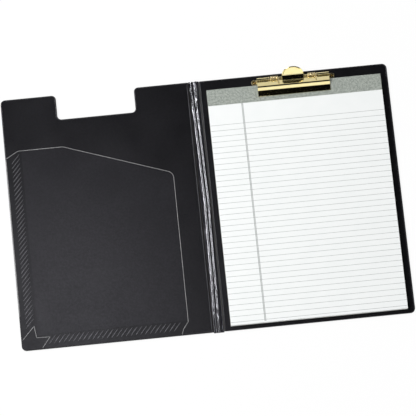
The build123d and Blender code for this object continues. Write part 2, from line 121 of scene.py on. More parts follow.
def ramp(factor, stops):
    """A colour ramp with (place, brightness or colour) stops."""
    made = fed("ShaderNodeValToRGB", {"Fac": factor})
    elements = made.color_ramp.elements
    while len(elements) < len(stops):
        elements.new(0.5)
    for element, (place, shade) in zip(elements, stops):
        element.position = place
        element.color = (*shade, 1) if isinstance(shade, tuple) else (shade, shade, shade, 1)
    return made.outputs["Color"]


def mix_colours(factor, first, second):
    """A mix of two colours, given as sockets or as red, green and blue."""
    values = {0: factor}
    for place, shade in ((6, first), (7, second)):
        values[place] = (*shade, 1) if isinstance(shade, tuple) else shade
    return fed("ShaderNodeMix", values, data_type="RGBA").outputs[2]


def mix_values(factor, first, second):
    """A mix of two numbers or sockets."""
    return fed("ShaderNodeMix", {0: factor, 2: first, 3: second}, data_type="FLOAT").outputs[0]


def object_place(tree):
    return node(tree, "ShaderNodeTexCoord").outputs["Object"]


def axes(place):
    """The X, Y and Z of a place."""
    return fed("ShaderNodeSeparateXYZ", {0: place}).outputs


def noise_field(place, scale, detail=2.0, roughness=0.5, distortion=0.0):
    """Noise between 0 and 1 at a place."""
    values = {"Scale": scale, "Detail": detail, "Roughness": roughness, "Distortion": distortion}
    return fed("ShaderNodeTexNoise", {"Vector": place, **values}).outputs["Fac"]


def stretched(place, scale, turn=0.0):
    """A place turned about Z and scaled along each axis."""
    return fed("ShaderNodeMapping", {"Vector": place, "Rotation": (0, 0, turn), "Scale": scale}).outputs[0]


def per_metre(size_mm):
    """How many times a size in millimetres goes into a metre."""
    return calculate("DIVIDE", 1 / MM, size_mm)


# Shared effects
SOCKETS = {float: "NodeSocketFloat", int: "NodeSocketInt", tuple: "NodeSocketVector"}


def group(name, inputs, outputs, kind="ShaderNodeTree", socket_type="NodeSocketFloat"):
    """A node group with named inputs and outputs; returns it with what it gets and what it gives."""
    tree = bpy.data.node_groups.new(name, kind)
    for label, value in inputs.items():
        socket = tree.interface.new_socket(label, in_out="INPUT", socket_type=SOCKETS[type(value)])
        socket.default_value = value
    for label in outputs:
        tree.interface.new_socket(label, in_out="OUTPUT", socket_type=socket_type)
    return tree, node(tree, "NodeGroupInput").outputs, node(tree, "NodeGroupOutput").inputs


def make_leather_grain():
    """Pebbled grain pressed into vinyl: cells of a stated size with finer pits between them."""
    inputs = {"Cell Size mm": 0.9, "Pit Depth": 0.35}
    tree, given, result = group("leather grain", inputs, ("Height", "Valleys"))
    place = object_place(tree)
    rate = per_metre(given["Cell Size mm"])
    cells = fed("ShaderNodeTexVoronoi", {"Vector": place, "Scale": rate}, feature="DISTANCE_TO_EDGE")
    pebbles = calculate("SMOOTH_MIN", cells.outputs["Distance"], 0.22, 0.15)
    pits = noise_field(place, times(rate, 2.7), 3.0, 0.6)
    pitted = times(pits, given["Pit Depth"])
    feed(result["Height"], scaled(pebbles, 3.0, pitted))
    raised = times(pebbles, 5.0)
    feed(result["Valleys"], calculate("SUBTRACT", 1.0, raised, clamp=True))
    return tree


def make_handling():
    """Uneven polish from handling: broad soft patches and a few fine scuffs."""
    inputs = {"Patch Size mm": 45.0, "Scuff Amount": 0.5}
    tree, given, result = group("handling marks", inputs, ("Polish", "Scuffs"))
    place = object_place(tree)
    rate = per_metre(given["Patch Size mm"])
    feed(result["Polish"], noise_field(place, rate, 2.0, 0.45))
    scuffs = noise_field(stretched(place, (900.0, 60.0, 300.0), 0.6), 1.0, 4.0)
    few = times(calculate("SUBTRACT", scuffs, 0.62), 6.0, clamp=True)
    feed(result["Scuffs"], times(few, given["Scuff Amount"]))
    return tree


def make_polish_lines():
    """Fine drawn lines along the length of polished metal, and clouds of tarnish."""
    tree, given, result = group("polish lines", {"Line Width mm": 0.12}, ("Lines", "Tarnish"))
    place = object_place(tree)
    rate = per_metre(given["Line Width mm"])
    feed(result["Lines"], noise_field(stretched(place, (0.02, 1.0, 1.0)), rate))
    feed(result["Tarnish"], noise_field(place, 140.0, 3.0))
    return tree


def make_paper_fibre():
    """Matted fibres of paper and board: short soft strands and cloudy thickness."""
    tree, given, result = group("paper fibre", {"Strand Size mm": 0.5}, ("Strands", "Clouds"))
    place = object_place(tree)
    rate = per_metre(given["Strand Size mm"])
    drawn_out = stretched(place, (1.0, 0.35, 1.0))
    feed(result["Strands"], noise_field(drawn_out, rate, 5.0, 0.65, 1.5))
    feed(result["Clouds"], noise_field(place, 60.0, 3.0))
    return tree


leather_grain = make_leather_grain()
handling_marks = make_handling()
polish_lines = make_polish_lines()
paper_fibre = make_paper_fibre()


def use(tree, effect, values):
    """Places a shared effect in a material with its own values, and returns what it gives."""
    return node(tree, "ShaderNodeGroup", values, node_tree=effect).outputs


def emptied(owner):
    """The node tree of a material or world, without its first nodes."""
    owner.use_nodes = True
    owner.node_tree.nodes.clear()
    return owner.node_tree


def finish(name, **sockets):
    """A material with one Principled BSDF, whose constant sockets are set directly."""
    made = bpy.data.materials.new(name)
    tree = emptied(made)
    shader = node(tree, "ShaderNodeBsdfPrincipled")
    fed("ShaderNodeOutputMaterial", {0: shader.outputs[0]})
    for label, value in sockets.items():
        shader.inputs[label.replace("_", " ")].default_value = value
    return made, tree, shader.inputs


def dress(surface, colour, rough, height, height_mm, strength):
    """Feeds a surface its colour, its roughness and the height of its bumps."""
    feed(surface["Base Color"], colour)
    feed(surface["Roughness"], rough)
    values = {"Strength": strength, "Distance": height_mm * MM, "Height": height}
    feed(surface["Normal"], fed("ShaderNodeBump", values).outputs[0])


def vinyl(name, dark, light, roughness, grain_depth, cell_size=0.9, patch_size=45.0):
    """Calendered black vinyl with pressed grain, uneven polish, fine mottling and painted shade in the
    grain's valleys.
    """
    made, tree, surface = finish(name, Specular_IOR_Level=0.3)
    grain = use(tree, leather_grain, {"Cell Size mm": cell_size})
    marks = use(tree, handling_marks, {"Patch Size mm": patch_size, "Scuff Amount": 0.4})
    mottle = calculate("SUBTRACT", noise_field(object_place(tree), 420.0, 2.0, 0.7), 0.5)
    tone = scaled(mottle, 3.0, marks["Polish"])
    # painted shade: the colour is darker in the grain's valleys
    tone = scaled(grain["Valleys"], -0.35, tone, clamp=True)
    colour = mix_colours(tone, dark, light)
    rough = scaled(marks["Polish"], 0.16, roughness - 0.08)
    rough = scaled(mottle, -0.25, rough)
    rough = scaled(marks["Scuffs"], 0.12, rough)
    rough = scaled(grain["Valleys"], 0.08, rough, clamp=True)
    dress(surface, colour, rough, grain["Height"], grain_depth, 0.6)
    return made


cover_vinyl = vinyl("cover vinyl", (0.0042, 0.0041, 0.0052), (0.0085, 0.0082, 0.0102), 0.36, 0.05)
liner_vinyl = vinyl("liner vinyl", (0.0032, 0.0031, 0.0042), (0.0072, 0.0069, 0.0088), 0.33, 0.02, 0.7)
pocket_vinyl = vinyl("pocket vinyl", (0.0062, 0.0060, 0.0078), (0.0115, 0.0111, 0.0140), 0.34, 0.02, 0.7)
# Painted highlight: the rim beads' vinyl is coloured lighter than the covers'
rim_highlight_vinyl = vinyl("rim vinyl with painted highlight", (0.014, 0.0137, 0.0165), (0.028, 0.0275, 0.032), 0.3, 0.01, 0.5, 12.0)
# Painted highlight: the hatch strokes' vinyl is coloured light grey
weld_highlight_vinyl = vinyl("welded vinyl with painted highlight", (0.07, 0.069, 0.077), (0.125, 0.123, 0.135), 0.26, 0.01, 0.5, 12.0)
# Painted highlight: the pocket's edge beads are coloured light grey
edge_highlight_vinyl = vinyl("cut vinyl edge with painted highlight", (0.24, 0.24, 0.242), (0.38, 0.38, 0.385), 0.33, 0.01, 0.4, 14.0)

WELD_INNER_X = -219.5
WELD_INNER_Y = -141.0


def paint_weld_shade(made):
    """Painted shade: the pressed bands along the pocket's left side and foot are coloured darker than the
    sheet between them.
    """
    tree = made.node_tree
    colour = tree.nodes["Principled BSDF"].inputs["Base Color"]
    sheet_colour = colour.links[0].from_socket
    place = axes(object_place(tree))
    side = calculate("LESS_THAN", place["X"], WELD_INNER_X * MM)
    foot = calculate("LESS_THAN", place["Y"], WELD_INNER_Y * MM)
    weld_shade_mask = times(calculate("MAXIMUM", side, foot), 0.8)
    # painted shade over the weld bands
    feed(colour, mix_colours(weld_shade_mask, sheet_colour, (0.003, 0.003, 0.0038)))


paint_weld_shade(pocket_vinyl)

# Finish of the spine: how far from its middle the weld line and the matt laps lie
WELD_LINE_M = 0.0066
WELD_LINE_REACH_M = 0.0006
LAP_START_M = 0.0052
LAP_FADE_M = 0.0012


def gathered_vinyl():
    """Vinyl of the spine: glossy where it is gathered, matt on its laps, with an olive weld line."""
    made, tree, surface = finish("spine vinyl", Coat_Roughness=0.04)
    marks = use(tree, handling_marks, {"Patch Size mm": 9.0, "Scuff Amount": 0.6})
    place = object_place(tree)
    off_middle = calculate("ABSOLUTE", axes(place)["X"])
    off_weld = calculate("ABSOLUTE", calculate("SUBTRACT", off_middle, WELD_LINE_M))
    off_weld = calculate("DIVIDE", off_weld, WELD_LINE_REACH_M)
    weld = calculate("SUBTRACT", 1.0, off_weld, clamp=True)
    plain = mix_colours(marks["Polish"], (0.008, 0.008, 0.0105), (0.018, 0.018, 0.024))
    colour = mix_colours(weld, plain, (0.040, 0.038, 0.027))
    beyond = calculate("SUBTRACT", off_middle, LAP_START_M)
    lap = calculate("DIVIDE", beyond, LAP_FADE_M, clamp=True)
    feed(surface["Coat Weight"], calculate("SUBTRACT", 1.0, lap))
    rough = scaled(lap, 0.7, scaled(marks["Polish"], 0.2, 0.08))
    rough = calculate("ADD", rough, marks["Scuffs"], clamp=True)
    fine = noise_field(stretched(place, (520.0, 70.0, 520.0)), 1.0, 4.0, 0.55)
    dress(surface, colour, rough, fine, 0.35, 0.4)
    return made


def metal(name, dark, light, roughness, line_width=0.12):
    """Polished sheet metal with fine drawn lines and a little tarnish."""
    made, tree, surface = finish(name, Metallic=1.0)
    polish = use(tree, polish_lines, {"Line Width mm": line_width})
    colour = mix_colours(polish["Tarnish"], dark, light)
    rough = scaled(polish["Lines"], 0.09, roughness - 0.03)
    rough = scaled(polish["Tarnish"], 0.05, rough)
    dress(surface, colour, rough, polish["Lines"], 0.0015, 0.3)
    return made


clip_brass = metal("clip brass", (0.91, 0.77, 0.37), (0.98, 0.87, 0.50), 0.11)
base_brass = metal("base brass", (0.86, 0.72, 0.38), (0.95, 0.84, 0.52), 0.36, 0.1)
rivet_brass = metal("rivet brass", (0.70, 0.56, 0.27), (0.86, 0.72, 0.40), 0.16, 0.08)
spring_brass = metal("spring wire", (0.74, 0.61, 0.33), (0.88, 0.76, 0.47), 0.18, 0.06)
washer_steel = metal("washer steel", (0.42, 0.42, 0.43), (0.60, 0.60, 0.60), 0.30, 0.1)


def board(name, dark, light):
    """Grey chipboard."""
    made, tree, surface = finish(name)
    fibre = use(tree, paper_fibre, {"Strand Size mm": 1.2})
    colour = mix_colours(fibre["Strands"], dark, light)
    rough = scaled(fibre["Clouds"], 0.1, 0.8)
    dress(surface, colour, rough, fibre["Strands"], 0.08, 0.5)
    return made


cover_board = board("cover chipboard", (0.24, 0.21, 0.17), (0.40, 0.36, 0.30))
backing_board = board("pad chipboard", (0.30, 0.28, 0.25), (0.46, 0.44, 0.40))

# Rules printed on the page
LAST_RULE = -150.55
RULE_SPACING = 7.114
FIRST_RULE = 98.45
RULE_WIDTH = 0.42
RULE_LEFT = 15.2
RULE_RIGHT = 230.6
MARGIN_LINES = (56.5, 57.75)
MARGIN_WIDTH = 0.8
MARGIN_FOOT = -152.4
INK = (0.17, 0.185, 0.18)


def within(value, low, high):
    """1 where a value lies between two limits, and 0 outside them."""
    above = calculate("GREATER_THAN", value, low)
    return times(above, calculate("LESS_THAN", value, high))


def printed_lines(tree):
    """1 on the printed rules and margin lines, and 0 beside them."""
    in_mm = fed("ShaderNodeVectorMath", {0: object_place(tree), "Scale": 1 / MM}, operation="SCALE")
    place = axes(in_mm.outputs[0])
    across, down = place["X"], place["Y"]
    counted = calculate("DIVIDE", calculate("SUBTRACT", down, LAST_RULE), RULE_SPACING)
    nearest = calculate("SUBTRACT", counted, calculate("ROUND", counted))
    off_rule = calculate("ABSOLUTE", nearest)
    mask = calculate("LESS_THAN", off_rule, RULE_WIDTH / 2 / RULE_SPACING)
    mask = times(mask, within(across, RULE_LEFT, RULE_RIGHT))
    mask = times(mask, within(down, LAST_RULE - 1.0, FIRST_RULE + 1.0))
    above_foot = calculate("GREATER_THAN", down, MARGIN_FOOT)
    for line_x in MARGIN_LINES:
        stripe = within(across, line_x - MARGIN_WIDTH / 2, line_x + MARGIN_WIDTH / 2)
        mask = calculate("MAXIMUM", mask, times(stripe, above_foot))
    return mask


def paper(name, ruled):
    """Uncoated white paper, with printed rules and a margin where it is ruled."""
    made, tree, surface = finish(name, Specular_IOR_Level=0.3)
    fibre = use(tree, paper_fibre, {"Strand Size mm": 0.45})
    tone = mix_colours(fibre["Clouds"], (0.83, 0.855, 0.85), (0.88, 0.895, 0.89))
    if ruled:
        inked = scaled(fibre["Strands"], 0.5, 0.5)
        inked = times(inked, printed_lines(tree), clamp=True)
        tone = mix_colours(inked, tone, INK)
    rough = scaled(fibre["Strands"], 0.12, 0.62)
    dress(surface, tone, rough, fibre["Strands"], 0.03, 0.4)
    return made


plain_paper = paper("plain paper", False)
ruled_paper = paper("ruled paper", True)

THREAD_PITCH_M = 0.0007


def cloth_tape():
    """Grey-green bookbinding cloth with a visible weave."""
    made, tree, surface = finish("binding cloth", Sheen_Weight=0.25, Sheen_Roughness=0.5)
    place = object_place(tree)
    threads = axes(place)
    thread_rate = 2 * pi / THREAD_PITCH_M
    drift = times(noise_field(place, 700.0, 3.0, 0.7), 3.0)
    warp = calculate("SINE", scaled(threads["X"], thread_rate, drift))
    weft = calculate("SINE", scaled(threads["Y"], thread_rate, drift))
    weave = scaled(times(warp, weft), 0.5, 0.5)
    blotch = times(noise_field(place, 420.0, 4.0, 0.75), 0.75)
    mixed = scaled(weave, 0.35, blotch)
    shades = [(0.3, (0.13, 0.148, 0.132)), (0.52, (0.25, 0.278, 0.248)), (0.75, (0.54, 0.575, 0.52))]
    dress(surface, ramp(mixed, shades), scaled(weave, 0.2, 0.62), mixed, 0.12, 0.7)
    return made


binding_cloth = cloth_tape()
spine_vinyl = gathered_vinyl()


# Mesh helpers
def stand(name, data):
    """A new object in the scene."""
    made = bpy.data.objects.new(name, data)
    bpy.context.scene.collection.objects.link(made)
    return made


def piece_from(name, points, faces, material, smooth=True):
    """A mesh piece from points in millimetres."""
    mesh = bpy.data.meshes.new(name)
    mesh.from_pydata([Vector(point) * MM for point in points], [], faces)
    mesh.validate()
    mesh.update()
    made = stand(name, mesh)
    mesh.materials.append(material)
    if smooth:
        mesh.polygons.foreach_set("use_smooth", [True] * len(mesh.polygons))
    return made


def as_plain_mesh(made, name, material):
    """Replaces an object by one with its modifiers applied and its place in its mesh."""
    depsgraph = bpy.context.evaluated_depsgraph_get()
    mesh = bpy.data.meshes.new_from_object(made.evaluated_get(depsgraph))
    mesh.transform(made.matrix_world)
    bpy.data.objects.remove(made)
    mesh.name = name
    mesh.materials.clear()
    mesh.materials.append(material)
    return stand(name, mesh)


def piece_from_work(name, work, material):
    """A mesh piece from a bmesh, which is used up."""
    mesh = bpy.data.meshes.new(name)
    work.to_mesh(mesh)
    work.free()
    mesh.materials.append(material)
    return stand(name, mesh)


def recalculate(made):
    """Points the faces of a closed mesh outwards."""
    work = bmesh.new()
    work.from_mesh(made.data)
    bmesh.ops.recalc_face_normals(work, faces=work.faces)
    work.to_mesh(made.data)
    work.free()
    made.data.update()


def smooth_below(made, angle):
    """Smooth shading with sharp edges above an angle in degrees."""
    work = bmesh.new()
    work.from_mesh(made.data)
    for face in work.faces:
        face.smooth = True
    for edge in work.edges:
        if len(edge.link_faces) == 2:
            edge.smooth = edge.calc_face_angle(0) < radians(angle)
    work.to_mesh(made.data)
    work.free()


ARC_STEPS = 8
BEAD_SIDES = 8


def rounded(points, radii, closed=True):
    """A run of straight lines whose corners are rounded by the given radii."""
    out = []
    count = len(points)
    for place in range(count):
        here = Vector(points[place]).to_2d()
        radius = radii[place]
        if radius <= 0 or (not closed and place in (0, count - 1)):
            out.append((here.x, here.y))
            continue
        before = (Vector(points[place - 1]).to_2d() - here).normalized()
        after = (Vector(points[(place + 1) % count]).to_2d() - here).normalized()
        half = before.angle(after) / 2
        start = here + before * (radius / tan(half))
        end = here + after * (radius / tan(half))
        centre = here + (before + after).normalized() * (radius / sin(half))
        first = atan2(start.y - centre.y, start.x - centre.x)
        turn = atan2(end.y - centre.y, end.x - centre.x) - first
        turn = (turn + pi) % (2 * pi) - pi
        for step in range(ARC_STEPS + 1):
            angle = first + turn * step / ARC_STEPS
            out.append((centre.x + radius * cos(angle), centre.y + radius * sin(angle)))
    return out


def ring_faces(rings, sides, closed=False):
    """Faces between neighbouring rings of points."""
    faces = []
    for ring in range(rings if closed else rings - 1):
        here, there = ring * sides, (ring + 1) % rings * sides
        for turn in range(sides):
            after = (turn + 1) % sides
            faces.append((here + turn, here + after, there + after, there + turn))
    return faces


def grid_faces(rows, columns, turned=False):
    """Faces of a grid whose points are laid row by row."""
    faces = []
    for row in range(rows):
        for column in range(columns):
            first = row * (columns + 1) + column
            corners = (first, first + 1, first + columns + 2, first + columns + 1)
            faces.append(corners[::-1] if turned else corners)
    return faces


def tube(name, spots, frames, radii, sides, material, closed=False):
    """A skin round a route: frames give the side and up directions at each spot, radii their reach."""
    points = []
    for spot, (side, up) in zip(spots, frames):
        for turn in range(sides):
            angle = 2 * pi * turn / sides
            points.append(spot + side * (radii[0] * cos(angle)) + up * (radii[1] * sin(angle)))
    faces = ring_faces(len(spots), sides, closed)
    if not closed:
        faces.append(tuple(range(sides)))
        faces.append(tuple(reversed(range(len(points) - sides, len(points)))))
    made = piece_from(name, points, faces, material)
    recalculate(made)
    return made


def bead(name, route, radius, material, closed=False, flatten=1.0):
    """A round bead that follows points in millimetres."""
    spots = [Vector(point) for point in route]
    before, after = spots[-1:] + spots[:-1], spots[1:] + spots[:1]
    if not closed:
        before[0], after[-1] = spots[0], spots[-1]
    frames = []
    for last, following in zip(before, after):
        along = (following - last).normalized()
        side = along.cross(Vector((0, 0, 1))).normalized()
        frames.append((side, side.cross(along).normalized()))
    return tube(name, spots, frames, (radius, radius * flatten), BEAD_SIDES, material, closed)


def spaced(route, step, closed=False):
    """Points along a run of lines, no further apart than a step."""
    out = []
    ends = route + [route[0]] if closed else route
    for start, end in zip(ends, ends[1:]):
        start, end = Vector(start), Vector(end)
        parts = max(1, ceil((end - start).length / step))
        out += [tuple(start.lerp(end, part / parts)) for part in range(parts)]
    if not closed:
        out.append(tuple(ends[-1]))
    return out


def gridded_face(name, outline, step, level_at, material):
    """A flat outline cut into a grid and lifted to level_at(x, y)."""
    work = bmesh.new()
    work.faces.new([work.verts.new((x, y, 0)) for x, y in outline])
    xs = [x for x, y in outline]
    ys = [y for x, y in outline]
    for axis, low, high in ((0, min(xs), max(xs)), (1, min(ys), max(ys))):
        normal = Vector((1, 0, 0)) if axis == 0 else Vector((0, 1, 0))
        for cut in range(1, ceil((high - low) / step)):
            place = normal * (low + cut * step)
            everything = work.verts[:] + work.edges[:] + work.faces[:]
            bmesh.ops.bisect_plane(work, geom=everything, plane_co=place, plane_no=normal, dist=0.001)
    for vertex in work.verts:
        vertex.co.z = level_at(vertex.co.x, vertex.co.y)
        vertex.co *= MM
    bmesh.ops.recalc_face_normals(work, faces=work.faces)
    if sum(face.normal.z for face in work.faces) < 0:
        bmesh.ops.reverse_faces(work, faces=work.faces)
    for face in work.faces:
        face.smooth = True
    return piece_from_work(name, work, material)


def thicken(made, thickness, name, material):
    """Gives a sheet its thickness below its surface."""
    shell = made.modifiers.new("thickness", "SOLIDIFY")
    shell.thickness = thickness * MM
    shell.offset = -1.0
    return as_plain_mesh(made, name, material)


def ease(low, high, value):
    """0 below low, 1 above high, and a smooth rise between them."""
    share = min(1.0, max(0.0, (value - low) / (high - low)))
    return share * share * (3 - 2 * share)


# Finishes of the solids that show as they are
SOLID_FINISHES = {
    cover_vinyl: ["front_skin", "spine_skin", "back_skin"],
    liner_vinyl: ["front_liner", "back_liner"],
    pocket_vinyl: ["pocket_sheet"],
    spine_vinyl: ["spine_liner"],
    cover_board: ["front_board", "back_board"],
    backing_board: ["pad_backing"],
    clip_brass: ["clip_pin", "clip_jaw"],
    base_brass: ["clip_base"],
    rivet_brass: ["clip_rivets"],
    washer_steel: ["rivet_washers"],
    spring_brass: ["spring_left", "spring_right"],
    plain_paper: ["pad_sheets"],
    ruled_paper: ["pad_top_sheet"],
    binding_cloth: ["pad_tape"],
}
for solid_finish, names in SOLID_FINISHES.items():
    for name in names:
        shown_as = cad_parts[name].data.materials
        shown_as.clear()
        shown_as.append(solid_finish)

# Welded rim beads round both covers, in vinyl coloured lighter than the covers' as a painted highlight
RIM_INSET = 1.1
RIM_BEAD = 0.5
SPINE_CORNER = 0.4
PAD_WAY_DROP = 0.44


def front_route():
    left, right = -PANEL_OUTER + RIM_INSET, -PANEL_INNER - RIM_INSET
    foot, top = BOTTOM_EDGE + RIM_INSET, TOP_EDGE - RIM_INSET
    notch_left, notch_right = NOTCH_LEFT - RIM_INSET, NOTCH_RIGHT + RIM_INSET
    notch_floor = NOTCH_FLOOR - RIM_INSET
    corners = [(left, foot), (right, foot), (right, top), (notch_right, top), (notch_right, notch_floor)]
    corners += [(notch_left, notch_floor), (notch_left, top), (left, top)]
    outer, mouth = CORNER_RADIUS - RIM_INSET, NOTCH_MOUTH_RADIUS - RIM_INSET
    deep = NOTCH_FLOOR_RADIUS + RIM_INSET
    return rounded(corners, [outer, SPINE_CORNER, SPINE_CORNER, mouth, deep, deep, mouth, outer])


def back_route():
    left, right = PANEL_INNER + RIM_INSET, PANEL_OUTER - RIM_INSET
    foot, top = BOTTOM_EDGE + RIM_INSET, TOP_EDGE - RIM_INSET
    outer = CORNER_RADIUS - RIM_INSET
    corners = [(left, foot), (right, foot), (right, top), (left, top)]
    return rounded(corners, [SPINE_CORNER, outer, outer, SPINE_CORNER])


def rim_bead(name, flat_route, body):
    route = spaced([(x, y, PANEL_TOP + 0.02) for x, y in flat_route], 6.0, closed=True)
    if body == "back_cover":
        # low along the foot, where the pad slides out over it
        route = [(x, y, z - PAD_WAY_DROP * (1 - ease(-156.5, -151.0, y))) for x, y, z in route]
    made = bead(name, route, RIM_BEAD, rim_highlight_vinyl, closed=True, flatten=0.75)
    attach(made, body)


rim_bead("front_rim_bead", front_route(), "front_cover")
rim_bead("back_rim_bead", back_route(), "back_cover")

# Pocket: a sheet welded along its left side and foot, with a slanted open top
POCKET_CORNERS = [
    (-239.2, -157.95),
    (-44.8, -157.95),
    (-42.7, -151.55),
    (-36.0, -142.45),
    (-36.0, 45.65),
    (-168.5, 91.95),
    (-224.0, 91.95),
    (-239.2, 83.25),
]
POCKET_RADII = [5.2, 0, 1.5, 1.5, 9.0, 9.0, 9.0, 0]
POCKET_SIDE = -239.1
POCKET_LEVEL = 3.8
POCKET_SHEET = 0.4
LEFT_WELD = -222.0
FOOT_WELD = -142.75
WELD_DEPTH = 0.22
POCKET_BOW = 0.35
POCKET_RIPPLE = 0.12


def pocket_level(x, y):
    """Top of the pocket: pressed flat in its welds, lightly bowed between them."""
    inside = ease(LEFT_WELD - 3, LEFT_WELD + 9, x) * ease(FOOT_WELD - 3, FOOT_WELD + 9, y)
    pressed = WELD_DEPTH * (1 - inside)
    bow = POCKET_BOW * inside * sin(pi * ease(-222, -36, x)) * (0.5 + 0.5 * sin(pi * ease(-142, 92, y)))
    ripple = POCKET_RIPPLE * inside * noise.noise(Vector((x * 0.02, y * 0.017, 3.1)))
    return POCKET_LEVEL - pressed + bow + ripple


pocket_outline = rounded(POCKET_CORNERS, POCKET_RADII)
pocket = gridded_face("pocket_leaf", pocket_outline, 4.0, pocket_level, pocket_vinyl)
pocket = thicken(pocket, POCKET_SHEET, "pocket_leaf", pocket_vinyl)
smooth_below(pocket, 40)
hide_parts("pocket_sheet")
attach(pocket, "front_cover")


def pocket_trim(name, route, lift, radius, flatten=1.0):
    """A bead of cut vinyl that follows the pocket's surface, coloured light grey as a painted highlight along
    the pocket's edges.
    """
    points = [(x, y, pocket_level(x, y) + lift) for x, y in route]
    made = bead(name, points, radius, edge_highlight_vinyl, flatten=flatten)
    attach(made, "front_cover")


open_edge = rounded(POCKET_CORNERS[1:], POCKET_RADII[1:], closed=False)
corner_weld = [(-238.4, -145.8), (-222.9, -129.6), (-220.9, -144.2), (-204.6, -144.6), (-214.8, -157.4)]
pocket_trim("pocket_edge", spaced(open_edge, 4.0), -0.12, 0.36)
pocket_trim("pocket_side_edge", [(POCKET_SIDE, y) for y in range(82, -121, -6)], -0.06, 0.42)
pocket_trim("corner_weld", spaced(corner_weld, 2.0), 0.02, 0.3, flatten=0.6)


# Geometry Nodes for what repeats
def nodes_tree(name, inputs):
    """A geometry node group that also gets a finish and gives a geometry."""
    tree, given, result = group(name, inputs, ["Geometry"], "GeometryNodeTree", "NodeSocketGeometry")
    tree.interface.new_socket("Finish", in_out="INPUT", socket_type="NodeSocketMaterial")
    return tree, given, result


def vector_of(**parts):
    return fed("ShaderNodeCombineXYZ", parts).outputs[0]


def give_real(given, result, instances):
    """Makes instances real, sets their material and sends them out of the tree."""
    real = fed("GeometryNodeRealizeInstances", {0: instances})
    values = {"Geometry": real.outputs[0], "Material": given["Finish"]}
    feed(result["Geometry"], fed("GeometryNodeSetMaterial", values).outputs[0])


def grown(name, tree, values, material):
    """Runs a geometry node tree with its own values and keeps the result as a plain mesh."""
    made = stand(name, bpy.data.meshes.new(name))
    grower = made.modifiers.new("grow", "NODES")
    grower.node_group = tree
    values = {**values, "Finish": material}
    for item in tree.interface.items_tree:
        if item.in_out == "INPUT" and item.name in values:
            grower[item.identifier] = values[item.name]
    return as_plain_mesh(made, name, material)


def make_hatch_tree():
    """Slanted pressed strokes, evenly spaced between two points."""
    inputs = {
        "Start": (0.0, 0.0, 0.0),
        "End": (0.0, 0.1, 0.0),
        "Spacing": 5.7 * MM,
        "Stroke Length": 14.0 * MM,
        "Stroke Width": 1.15 * MM,
        "Stroke Height": 1.25 * MM,
        "Slant": radians(50),
    }
    tree, given, result = nodes_tree("hatched weld", inputs)
    ends = {"Start": given["Start"], "End": given["End"]}
    line = fed("GeometryNodeCurvePrimitiveLine", ends)
    values = {"Curve": line.outputs[0], "Length": given["Spacing"]}
    stops = fed("GeometryNodeCurveToPoints", values, mode="LENGTH")
    stroke = node(tree, "GeometryNodeMeshUVSphere", {"Segments": 12, "Rings": 6, "Radius": 0.5})
    size = vector_of(X=given["Stroke Length"], Y=given["Stroke Width"], Z=given["Stroke Height"])
    turn = vector_of(Z=given["Slant"])
    values = {"Geometry": stroke.outputs["Mesh"], "Rotation": turn, "Scale": size}
    shaped = fed("GeometryNodeTransform", values)
    values = {"Points": stops.outputs["Points"], "Instance": shaped.outputs[0]}
    strokes = fed("GeometryNodeInstanceOnPoints", values)
    give_real(given, result, strokes.outputs[0])
    return tree


def make_page_tree():
    """A pile of equal sheets, each shifted by a small random amount."""
    inputs = {
        "Middle": (0.0, 0.0, 0.0),
        "Width": 0.2,
        "Length": 0.3,
        "Sheets": 49,
        "Spacing": 0.1 * MM,
        "Thickness": 0.088 * MM,
        "Stray": 0.1 * MM,
        "Seed": 7,
    }
    tree, given, result = nodes_tree("page pile", inputs)
    rise = vector_of(Z=given["Spacing"])
    values = {"Count": given["Sheets"], "Start Location": given["Middle"], "Offset": rise}
    pile = fed("GeometryNodeMeshLine", values, mode="OFFSET")
    size = vector_of(X=given["Width"], Y=given["Length"], Z=given["Thickness"])
    leaf = fed("GeometryNodeMeshCube", {"Size": size})
    values = {"Points": pile.outputs[0], "Instance": leaf.outputs["Mesh"]}
    leaves = fed("GeometryNodeInstanceOnPoints", values)
    stray_low = times(given["Stray"], -1.0)
    low = vector_of(X=stray_low, Y=stray_low)
    high = vector_of(X=given["Stray"], Y=given["Stray"])
    values = {0: low, 1: high, "Seed": given["Seed"]}
    stray = fed("FunctionNodeRandomValue", values, data_type="FLOAT_VECTOR")
    values = {"Instances": leaves.outputs[0], "Translation": stray.outputs[0]}
    moved = fed("GeometryNodeTranslateInstances", values)
    give_real(given, result, moved.outputs[0])
    return tree


# Hatching pressed into the pocket's welds: ends of the row, length of a stroke and its slant in degrees
HATCH_LEVEL = POCKET_LEVEL - 0.2
HATCHES = {
    "side_hatch": ((-227.8, -126.0), (-227.4, 82.0), 16.5, 49),
    "foot_hatch": ((-202.0, -147.9), (-50.0, -147.9), 14.0, 50),
}
hatch_tree = make_hatch_tree()
for name, (start, end, stroke_length, slant) in HATCHES.items():
    hatch_values = {
        "Start": (start[0] * MM, start[1] * MM, HATCH_LEVEL * MM),
        "End": (end[0] * MM, end[1] * MM, HATCH_LEVEL * MM),
        "Stroke Length": stroke_length * MM,
        "Slant": radians(slant),
    }
    # the strokes are coloured light grey as a painted highlight
    hatch = grown(name, hatch_tree, hatch_values, weld_highlight_vinyl)
    smooth_below(hatch, 60)
    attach(hatch, "front_cover")

# Spine: inner vinyl gathered into two wandering ridges, lapped over both covers' inner edges
LAP = 8.3
GATHER_SHEET = 0.3
GATHER_OVERHANG = 0.9
SPINE_FLOOR = 0.98


def wander(y):
    """Sideways drift of the ridges down the spine."""
    down = TOP_EDGE - y
    stops = [(-5, -0.6), (30, -0.3), (61, 0.4), (105, 1.2), (151, 2.0), (195, 1.2), (240, 0.6), (322, -1.2)]
    for (start, low), (end, high) in zip(stops, stops[1:]):
        if down <= end:
            return low + (high - low) * ease(start, end, down)
    return stops[-1][1]


# Ridges of the gathered vinyl: place, height and width
LEFT_RIDGE = (-2.0, 1.75, 1.3)
RIGHT_RIDGE = (2.2, 1.6, 1.35)
RIDGE_PARTING = 0.9


